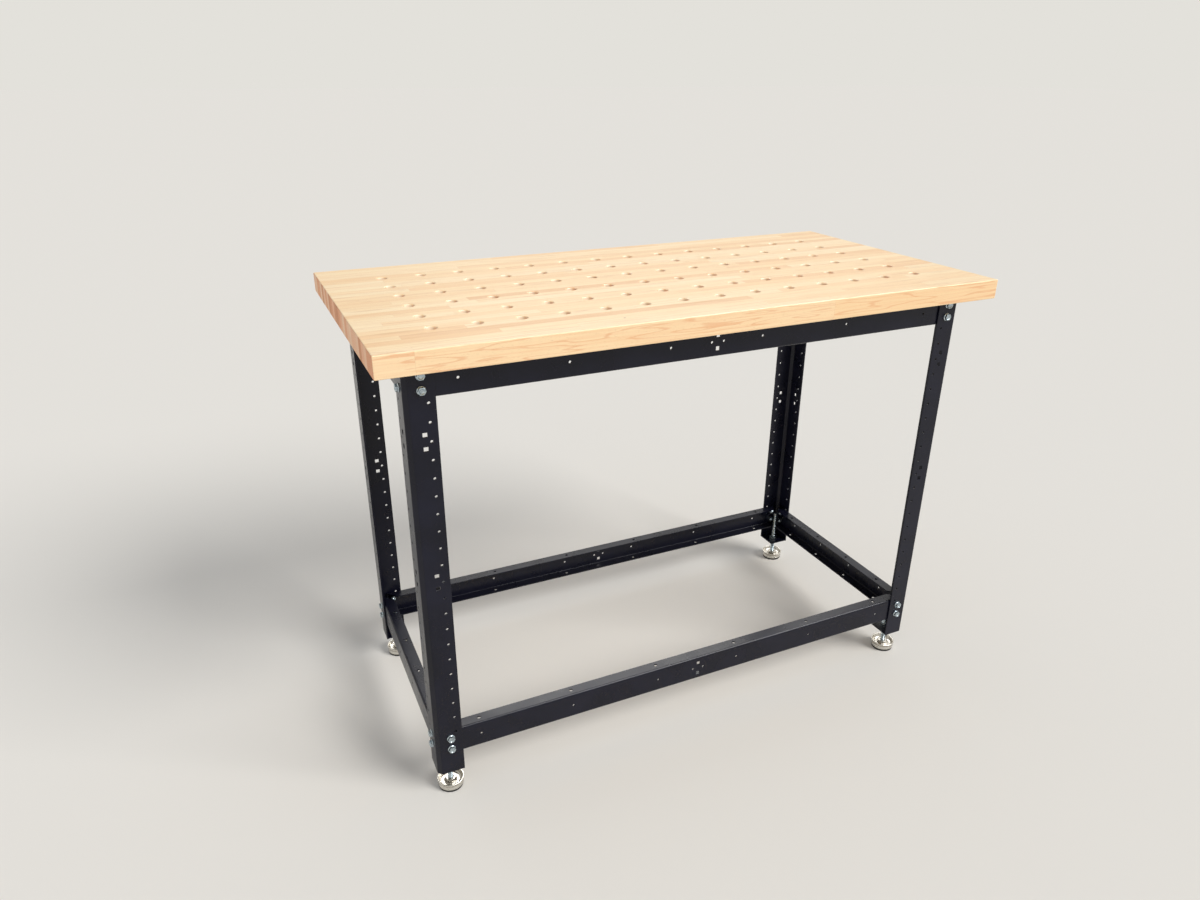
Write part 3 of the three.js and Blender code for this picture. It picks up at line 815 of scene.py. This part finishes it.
def make_leg(name, sx, sy):
    """A folded angle with a bevelled corner, its rows of holes, and a foot plate across the bottom."""
    inner = LEG_BEVEL_INSIDE
    outer_bend = BEND_RADIUS + LEG_SHEET
    ease = SHEET_EDGE_EASE
    section = rounded(
        [
            (LEG_FLANGE, 0), (LEG_BEVEL, 0), (0, LEG_BEVEL), (0, LEG_FLANGE),
            (LEG_SHEET, LEG_FLANGE), (LEG_SHEET, inner), (inner, LEG_SHEET), (LEG_FLANGE, LEG_SHEET),
        ],
        [ease, outer_bend, outer_bend, ease, ease, BEND_RADIUS, BEND_RADIUS, ease],
    )
    seat = LEG_SHEET / 2
    end = LEG_FLANGE - PLATE_SETBACK
    plate = rounded(
        [(end, seat), (inner, seat), (seat, inner), (seat, end), (end, end)], [0, 0, 0, 0, PLATE_CORNER]
    )

    def standing(outline, low, high):
        placed = [(sx * (FRAME_X - p[0]), sy * (FRAME_Y - p[1])) for p in outline]
        return lambda made: prism(made, placed, low, high)

    leg = piece_from(f"folded_leg_{name}", standing(section, LEG_LOW.z, LEG_HIGH.z), POWDER_COAT)
    plate_shape = standing(plate, LEG_LOW.z + PLATE_LIFT, LEG_LOW.z + PLATE_SHEET)
    weld_on(leg, piece_from(f"foot_plate_{name}", plate_shape, POWDER_COAT))

    down = Vector((0, 0, -1))
    faces = (
        (ALONG_Y, lambda inset, z: (sx * (FRAME_X - inset), sy * FRAME_Y, z)),
        (ALONG_X, lambda inset, z: (sx * FRAME_X, sy * (FRAME_Y - inset), z)),
    )
    for turn, at in faces:
        start = at(ACCESSORY_INSET, LEG_HIGH.z - ACCESSORY_DROP)
        hole_row(leg, start, down * ACCESSORY_PITCH, ACCESSORY_COUNT, turn, ACCESSORY_HOLE)
        for drop in SQUARE_DROPS:
            start = at(SQUARE_INSET, LEG_HIGH.z - drop + BOLT_PITCH / 2)
            hole_row(leg, start, down * BOLT_PITCH, 2, turn, SQUARE_HOLE, is_square=True)
        for rail_bottom in (TOP_RAIL_LOW.z, LONG_LOW.z):
            start = at(SQUARE_INSET, rail_bottom + RAIL_HEIGHT / 2 + BOLT_PITCH / 2)
            hole_row(leg, start, down * BOLT_PITCH, 2, turn, BOLT_HOLE)
    hole_row(leg, (sx * FOOT_X, sy * FOOT_Y, LEG_LOW.z), down, 1, ALONG_Z, STUD_HOLE)
    bake(leg)
    soften(leg, SHEET_SMOOTH_DEG)
    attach(leg, "table")
    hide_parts(f"leg_{name}")


def channel(made, half_frame, place):
    """Adds a channel along its own X, its web's outer face at y = 0, with round bends and mitred flanges."""
    height, depth, sheet = RAIL_HEIGHT, RAIL_DEPTH, RAIL_SHEET
    bend = BEND_RADIUS + sheet
    outer = rounded([(depth, height), (0, height), (0, 0), (depth, 0)], [0, bend, bend, 0])
    inner = rounded(
        [(depth, height - sheet), (sheet, height - sheet), (sheet, sheet), (depth, sheet)],
        [0, BEND_RADIUS, BEND_RADIUS, 0],
    )
    mitre = half_frame - RAIL_FACE - RAIL_MITRE_GAP / math.sqrt(2)
    web_end = half_frame - LEG_BEVEL_INSIDE - RAIL_END_GAP

    def end_of(path, side):
        return [made.verts.new(place @ Vector((side * min(web_end, mitre - y), y, z))) for y, z in path]

    outer_left, inner_left = end_of(outer, -1), end_of(inner, -1)
    outer_right, inner_right = end_of(outer, 1), end_of(inner, 1)
    for first, second in (
        (outer_left, outer_right), (inner_left, inner_right), (outer_left, inner_left),
        (outer_right, inner_right),
    ):
        for k in range(len(outer) - 1):
            made.faces.new((first[k], first[k + 1], second[k + 1], second[k]))
    for tip in (0, -1):
        made.faces.new((outer_left[tip], outer_right[tip], inner_right[tip], inner_left[tip]))


def make_rail(level, side, half_frame, place, count, has_cluster):
    """A rail with a row of holes in its web and in each flange, and a cluster mid-web where asked."""
    rail = piece_from(f"{level}_channel_{side}", lambda made: channel(made, half_frame, place), POWDER_COAT)
    turn = place.to_3x3()
    through_web = (turn @ ALONG_Y.to_matrix()).to_euler()
    along = turn @ Vector((1, 0, 0))
    down = Vector((0, 0, -BOLT_PITCH))
    bolt_top = (RAIL_HEIGHT + BOLT_PITCH) / 2
    first = RAIL_HOLE_END - half_frame
    pitch = -2 * first / (count - 1)
    for y, z, axis, size in (
        (0, RAIL_HEIGHT / 2, through_web, ACCESSORY_HOLE),
        (FLANGE_HOLE_SETBACK, RAIL_HEIGHT, ALONG_Z, FLANGE_HOLE),
        (FLANGE_HOLE_SETBACK, 0, ALONG_Z, FLANGE_HOLE),
    ):
        hole_row(rail, place @ Vector((first, y, z)), along * pitch, count, axis, size)
    for end in (-1, 1):
        start = place @ Vector((end * (half_frame - SQUARE_INSET), 0, bolt_top))
        hole_row(rail, start, down, 2, through_web, BOLT_HOLE)
    if has_cluster:
        start = place @ Vector((0, 0, bolt_top))
        hole_row(rail, start, down, 2, through_web, SQUARE_HOLE, is_square=True)
        start = place @ Vector((-BOLT_PITCH / 2, 0, RAIL_HEIGHT / 2))
        hole_row(rail, start, along * BOLT_PITCH, 2, through_web, ACCESSORY_HOLE)
    bake(rail)
    soften(rail, SHEET_SMOOTH_DEG)
    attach(rail, "table")
    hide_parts(f"{level}_rail_{side}")


def make_rails():
    """Four channels under the top and four near the floor, each open to the inside."""
    for level, bottom in (("top", TOP_RAIL_LOW.z), ("lower", LONG_LOW.z)):
        for quarter, side in enumerate(("front", "right", "back", "left")):
            is_long = side in ("front", "back")
            half_frame, reach = (FRAME_X, FRAME_Y) if is_long else (FRAME_Y, FRAME_X)
            count = LONG_RAIL_HOLES if is_long else SHORT_RAIL_HOLES
            turn = Matrix.Rotation(quarter * math.pi / 2, 4, "Z")
            place = turn @ Matrix.Translation((0, -(reach - RAIL_FACE), bottom))
            make_rail(level, side, half_frame, place, count, has_cluster=is_long)


def hexagon(made, flats, low, high, dish=0.0, bore=0.0):
    """Adds a hexagon prism with cones turned off its corners, and a dished top or a bore where asked."""
    angles = [math.tau * k / HEXAGON_STEPS for k in range(HEXAGON_STEPS)]
    turned = flats / 2 - HEXAGON_TURNED_STEP
    reaches = [flats / 2 / math.cos(angle % (math.pi / 3) - math.pi / 6) for angle in angles]
    drops = [(reach - turned) * math.tan(HEXAGON_CONE) for reach in reaches]

    def ring(radii, heights):
        return [
            made.verts.new((radius * math.cos(angle), radius * math.sin(angle), height))
            for angle, radius, height in zip(angles, radii, heights)
        ]

    def circle(radius, height):
        return ring([radius] * HEXAGON_STEPS, [height] * HEXAGON_STEPS)

    rings = [
        circle(turned, low), ring(reaches, [low + drop for drop in drops]),
        ring(reaches, [high - drop for drop in drops]), circle(turned, high),
    ]
    if dish:
        rings += [circle(DISH_RIM_SHARE * turned, high), circle(DISH_FLOOR_SHARE * turned, high - dish)]
    if bore:
        rings = [circle(bore / 2, low), *rings, circle(bore / 2, high)]
    skin(made, rings, is_tube=bore > 0)


def bolt_shape(made):
    """A flanged hexagon bolt with its nut: z = 0 on the leg's outer face, +Z out of the frame."""
    nut_face = -(LEG_SHEET + RAIL_SHEET + 3 * SEAT)
    nut_end = nut_face - BOLT_NUT_HEIGHT
    flange, half_edge = BOLT_FLANGE / 2, BOLT_FLANGE_EDGE / 2
    edge, rise = SEAT + BOLT_FLANGE_EDGE, SEAT + BOLT_FLANGE_RISE
    lathe(made, [
        (0, SEAT), (flange, SEAT), (flange, SEAT + half_edge), (flange - half_edge, edge),
        (BOLT_FLATS / 2, rise), (0, rise),
    ], HEXAGON_STEPS)
    hexagon(made, BOLT_FLATS, edge, SEAT + BOLT_HEAD_HEIGHT, dish=BOLT_HEAD_DISH)
    hexagon(made, BOLT_FLATS, nut_end, nut_face)
    crest, root = BOLT_SHANK / 2, BOLT_SHANK / 2 - BOLT_THREAD_DEPTH
    pitch = BOLT_PROUD / (BOLT_RIDGES + 0.5)
    thread = [(0, nut_end - BOLT_PROUD), (root, nut_end - BOLT_PROUD)]
    for ridge in range(BOLT_RIDGES, 0, -1):
        thread += [(crest, nut_end - ridge * pitch), (root, nut_end - (ridge - 0.5) * pitch)]
    lathe(made, [*thread, (crest, nut_end), (crest, edge), (0, edge)], BOLT_SHANK_SIDES)


def stud_nut_shape(made):
    """A hexagon nut on the foot plate, bored for its stud."""
    hexagon(made, STUD_NUT_FLATS, 0, STUD_NUT_HEIGHT, bore=STUD_HOLE)


def screw_shape(made):
    """A pan-head wood screw, driven upwards: z = 0 under its head."""
    head = (SCREW_HIGH.x - SCREW_LOW.x) / 2
    shank = SCREW_SHANK / 2
    recess = SCREW_RECESS / 2
    length = SCREW_HIGH.z - SCREW_LOW.z - SCREW_HEAD_HEIGHT
    bottom, floor = -SCREW_HEAD_BOTTOM, -SCREW_RECESS_FLOOR
    section = [
        (0, floor), (recess, floor), (recess, bottom), (head, bottom), (head, 0), (shank, 0),
        (shank, length - SCREW_POINT), (0, length),
    ]
    lathe(made, rounded(section, [0, 0, 0, SCREW_HEAD_ROUND, 0, 0, 0, 0]), SCREW_SIDES)


def points_piece(name, places):
    """A piece of loose points, each with the turn of the fastener that goes there."""
    mesh = bpy.data.meshes.new(name)
    mesh.from_pydata([tuple(p) for p, _ in places], [], [])
    turns = mesh.attributes.new("turn", "FLOAT_VECTOR", "POINT")
    for item, (_, turn) in zip(turns.data, places):
        item.vector = tuple(turn)
    piece = bpy.data.objects.new(name, mesh)
    SCENE.collection.objects.link(piece)
    return piece


def make_fasteners(name, shape, places, material, nodes):
    """One piece that holds every copy of a fastener."""
    sample = piece_from(f"{name}_sample", shape, material)
    group = points_piece(name, places)
    run_tree(group, FASTENERS, {"Fastener": sample, "Material": material})
    bake(group)
    bpy.data.objects.remove(sample)
    soften(group, SHEET_SMOOTH_DEG)
    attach(group, "table")
    if nodes:
        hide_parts(*nodes)


def make_bolts():
    """Two flanged bolts through every leg face at each rail end."""
    places, nodes = [], []
    for corner, (sx, sy) in CORNERS.items():
        for level in ("top", "lower"):
            for number in (1, 2):
                long_node = f"bolt_{corner}_{level}_long_{number}"
                middle = sum(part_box(long_node), Vector()) / 2
                turn = Euler((-sy * math.pi / 2, 0, 0))
                places.append((Vector((middle.x, sy * FRAME_Y, middle.z)), turn))
                short_node = f"bolt_{corner}_{level}_short_{number}"
                middle = sum(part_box(short_node), Vector()) / 2
                turn = Euler((0, sx * math.pi / 2, 0))
                places.append((Vector((sx * FRAME_X, middle.y, middle.z)), turn))
                nodes += [long_node, short_node]
    make_fasteners("flanged_bolts", bolt_shape, places, ZINC, nodes)


def make_foot_nuts():
    """A nut on each foot plate, each stopped at its own turn."""
    top = LEG_LOW.z + PLATE_SHEET
    places = [
        (Vector((sx * FOOT_X, sy * FOOT_Y, top)), Euler((0, 0, STUD_NUT_TURN * k)))
        for k, (sx, sy) in enumerate(CORNERS.values())
    ]
    make_fasteners("foot_plate_nuts", stud_nut_shape, places, ZINC, [])


def make_top_screws():
    """Screws up through the long top rails into the block."""
    nodes = [f"top_screw_{corner}" for corner in CORNERS]
    places = []
    for node in nodes:
        low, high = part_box(node)
        middle = (low + high) / 2
        places.append((Vector((middle.x, middle.y, low.z + SCREW_HEAD_HEIGHT)), ALONG_Z))
    make_fasteners("top_screws", screw_shape, places, ZINC, nodes)


def threaded_bar(made, centre):
    """Adds a stud with a cut thread: its radius falls and rises with height and angle, and its ends taper."""
    low, high = STUD_LOW.z, STUD_HIGH.z
    radius = (STUD_HIGH.x - STUD_LOW.x) / 2
    rows = int((high - low) / (STUD_PITCH / STUD_ROWS_PER_TURN))
    rings = []
    for row in range(rows + 1):
        z = low + (high - low) * row / rows
        end_cut = STUD_TAPER - min(z - low, high - z)
        ring = []
        for k in range(STUD_SIDES):
            angle = math.tau * k / STUD_SIDES
            phase = (z / STUD_PITCH - angle / math.tau) % 1.0
            reach = radius - max(STUD_THREAD_DEPTH * abs(2 * phase - 1), end_cut)
            x, y = centre[0] + reach * math.cos(angle), centre[1] + reach * math.sin(angle)
            ring.append(made.verts.new((x, y, z)))
        rings.append(ring)
    skin(made, rings)


def make_foot(name, sx, sy):
    """A levelling foot: a dished nickel pad on a rubber sole, and the zinc stud that turns in it."""
    centre = (sx * FOOT_X, sy * FOOT_Y)
    parts = (
        (f"levelling_pad_{name}", PAD_SECTION_MM, NICKEL, f"foot_pad_{name}"),
        (f"rubber_sole_{name}", SOLE_SECTION_MM, RUBBER, None),
    )
    for piece_name, section, material, node in parts:
        corners = [(r * MM, z * MM) for r, z, _ in section]
        points = rounded(corners, [round_mm * MM for _, _, round_mm in section])
        piece = piece_from(piece_name, lambda made: lathe(made, points, PAD_SIDES, centre), material)
        soften(piece, PAD_SMOOTH_DEG)
        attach(piece, f"foot_{name}")
        if node:
            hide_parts(node)

    stud = piece_from(f"threaded_stud_{name}", lambda made: threaded_bar(made, centre), ZINC)
    soften(stud, STUD_SMOOTH_DEG)
    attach(stud, f"stud_{name}")
    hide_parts(f"foot_stud_{name}")


# Camera, floor and light


def make_camera():
    """The photograph's view."""
    data = bpy.data.cameras.new("camera")
    data.sensor_width = SENSOR_WIDTH_MM
    data.lens = FOCAL_PX / PICTURE_WIDTH_PX * SENSOR_WIDTH_MM
    data.clip_end = CAMERA_REACH
    camera = bpy.data.objects.new("camera", data)
    camera.location = CAMERA_PLACE
    camera.rotation_euler = [math.radians(a) for a in CAMERA_TURN_DEG]
    SCENE.collection.objects.link(camera)
    SCENE.camera = camera


def make_stage():
    """A plain pale floor, matt so that it mirrors nothing."""
    material, node = new_material("pale_floor")
    shader = node(SHADER, {"Base Color": srgb(FLOOR_COLOUR), "Roughness": 0.9, "Specular IOR Level": 0.0})
    node(SURFACE, {"Surface": shader})

    def plane(made):
        bmesh.ops.create_grid(made, x_segments=1, y_segments=1, size=FLOOR_REACH)

    floor = piece_from("floor", plane, material)


def add_lamp(data, place, towards):
    """Adds a lamp's object at a place, pointing along a direction."""
    lamp = bpy.data.objects.new(data.name, data)
    lamp.location = place
    lamp.rotation_euler = Vector(towards).to_track_quat("-Z", "Y").to_euler()
    SCENE.collection.objects.link(lamp)
    return lamp


def make_light():
    """A broad soft lamp high on the right of the front, two panels for the gloss, and an even pale sky."""
    data = bpy.data.lights.new("studio_lamp", "SUN")
    data.energy = LAMP_STRENGTH
    data.angle = math.radians(LAMP_WIDTH_DEG)
    data.color = srgb(LAMP_COLOUR)[:3]
    lamp = add_lamp(data, (0, 0, 0), -Vector(LAMP_FROM))
    lamp.visible_glossy = False

    # The lamp lights the colours and isn't mirrored, and the panels are mirrored and light no colours
    for name, (place, size, power) in PANELS.items():
        data = bpy.data.lights.new(name, "AREA")
        data.shape = "RECTANGLE"
        data.size, data.size_y = size
        data.energy = power
        panel = add_lamp(data, place, -Vector(place))
        panel.visible_diffuse = False

    # The eye and the polished pieces see the backdrop, and the sky's even light falls on everything else
    world = bpy.data.worlds.new("studio")
    SCENE.world = world
    world.use_nodes = True
    world.node_tree.nodes.clear()
    node = partial(add_node, world.node_tree)
    lighting = node("ShaderNodeBackground", {"Color": srgb(SKY_COLOUR), "Strength": SKY_STRENGTH})
    backdrop = node("ShaderNodeBackground", {"Color": srgb(BACKDROP), "Strength": 1.0})
    path = node("ShaderNodeLightPath").outputs
    seen = path["Is Camera Ray"]
    for kind in ("Is Glossy Ray", "Is Transmission Ray"):
        seen = node(MATH, {0: seen, 1: path[kind]}, operation="MAXIMUM")
    sky = node("ShaderNodeMixShader", {0: seen, 1: lighting, 2: backdrop})
    node("ShaderNodeOutputWorld", {"Surface": sky})


make_camera()
make_worktop()
for corner_name, (sign_x, sign_y) in CORNERS.items():
    make_leg(corner_name, sign_x, sign_y)
    make_foot(corner_name, sign_x, sign_y)
make_rails()
make_bolts()
make_foot_nuts()
make_top_screws()
make_stage()
make_light()

SCENE.view_settings.view_transform = "Standard"
